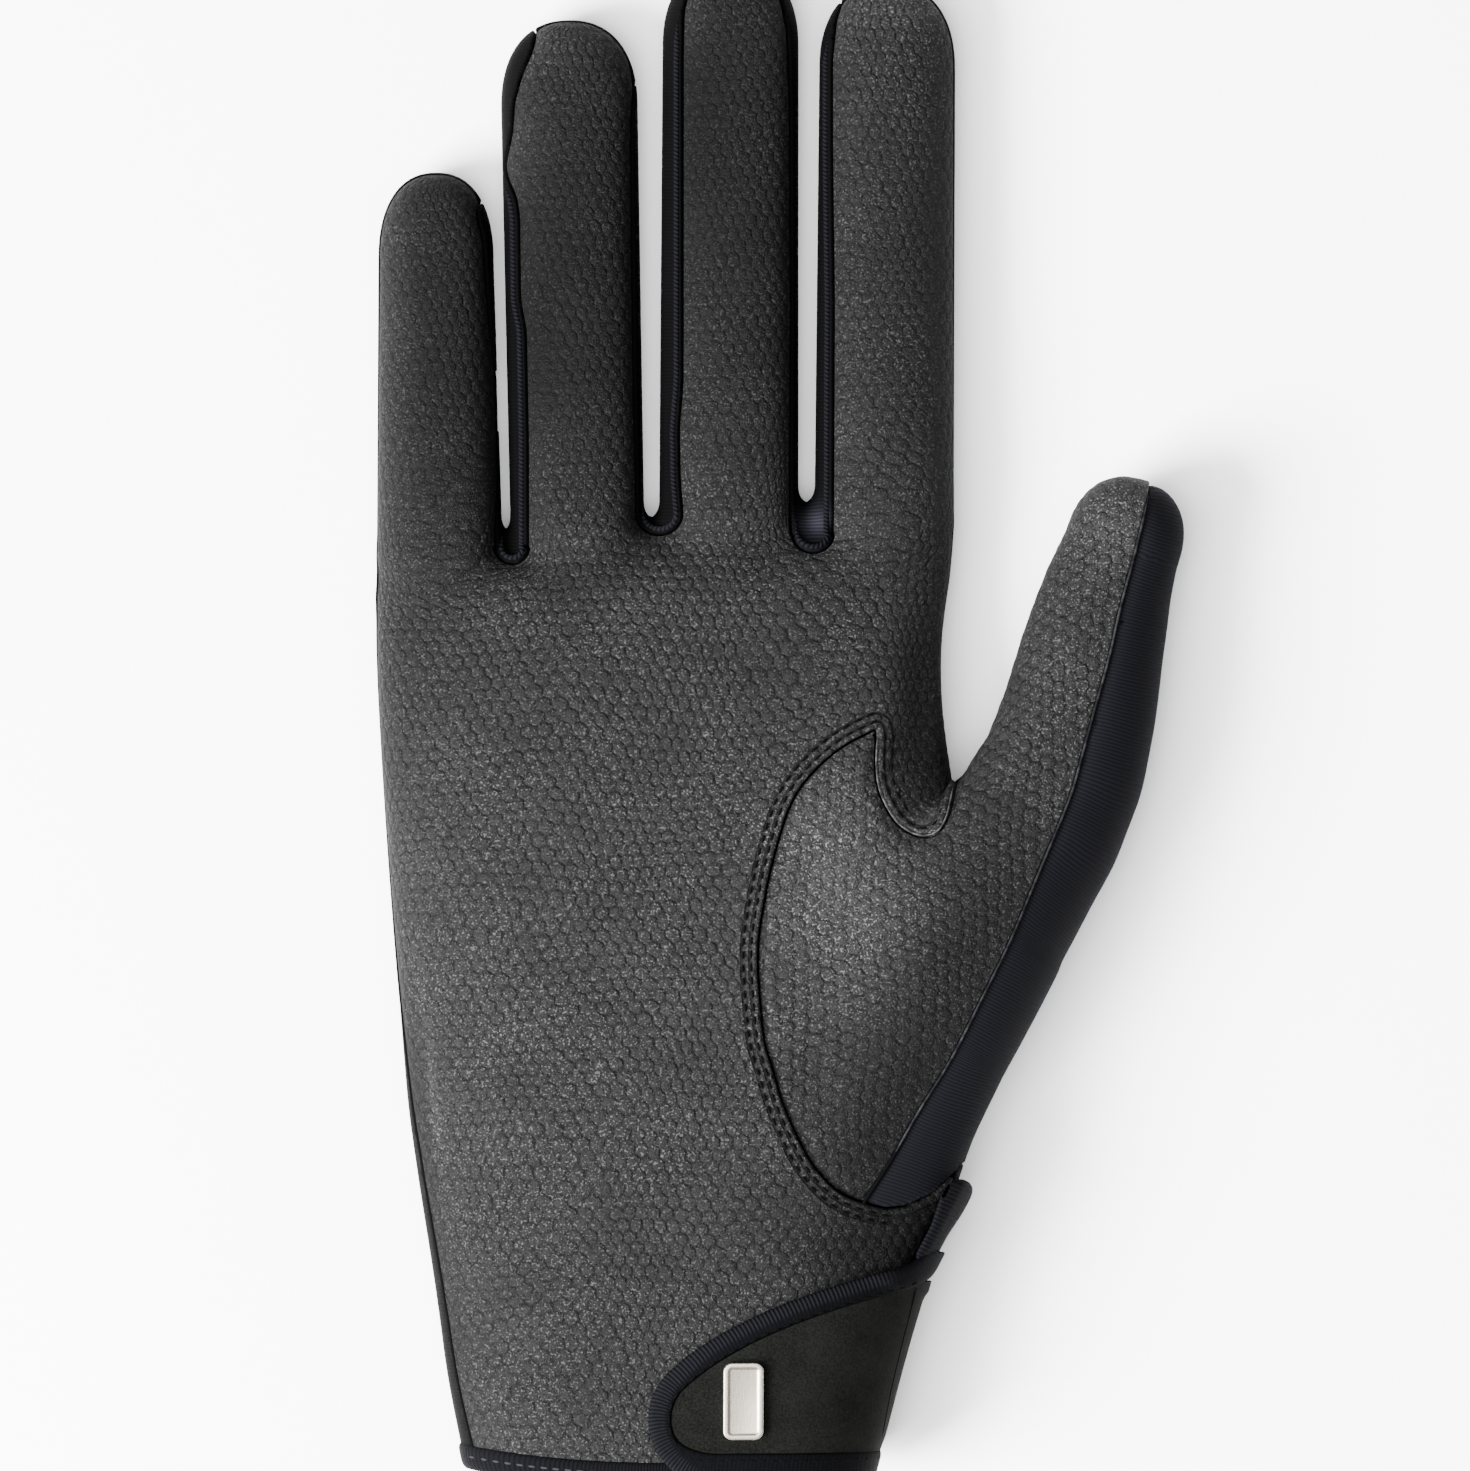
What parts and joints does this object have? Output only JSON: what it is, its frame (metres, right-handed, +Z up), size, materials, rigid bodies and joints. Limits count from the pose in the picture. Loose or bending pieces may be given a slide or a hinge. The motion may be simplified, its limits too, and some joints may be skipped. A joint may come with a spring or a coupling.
{
  "type": "horse riding glove",
  "caption": "Right-hand riding glove with an embossed grip palm, set-in thumb, ribbed stretch back and side gussets, bound cuff and a wrist strap with a plain metal plate.",
  "frame": {"origin": "on the surface the glove lies on, under the middle of its outline", "axes": "+X across the hand to the thumb side, +Y from the cuff to the fingertips, +Z up out of the palm"},
  "size_m": [0.1292, 0.244, 0.035],
  "materials": {
    "grip_suede": "embossed pebble suede, matt",
    "ribbed_stretch": "fine ribbed stretch knit, matt",
    "strap_suede": "smooth brushed suede, matt",
    "elastic_tape": "ribbed elastic tape",
    "hook_tape": "hook and loop tape",
    "plate_metal": "satin"
  },
  "bodies": {
    "root": {"palm_panel": "grip_suede", "thumb_palm": "grip_suede", "thumb_side": "ribbed_stretch", "back_panel": "ribbed_stretch", "gusset_little_ring": "ribbed_stretch", "gusset_ring_middle": "ribbed_stretch", "gusset_middle_index": "ribbed_stretch", "cuff_binding": "elastic_tape", "closure_strap": "strap_suede", "strap_binding": "elastic_tape", "hook_loop_patch": "hook_tape", "pull_tab": "elastic_tape", "badge": "plate_metal"}
  },
  "joints": []
}
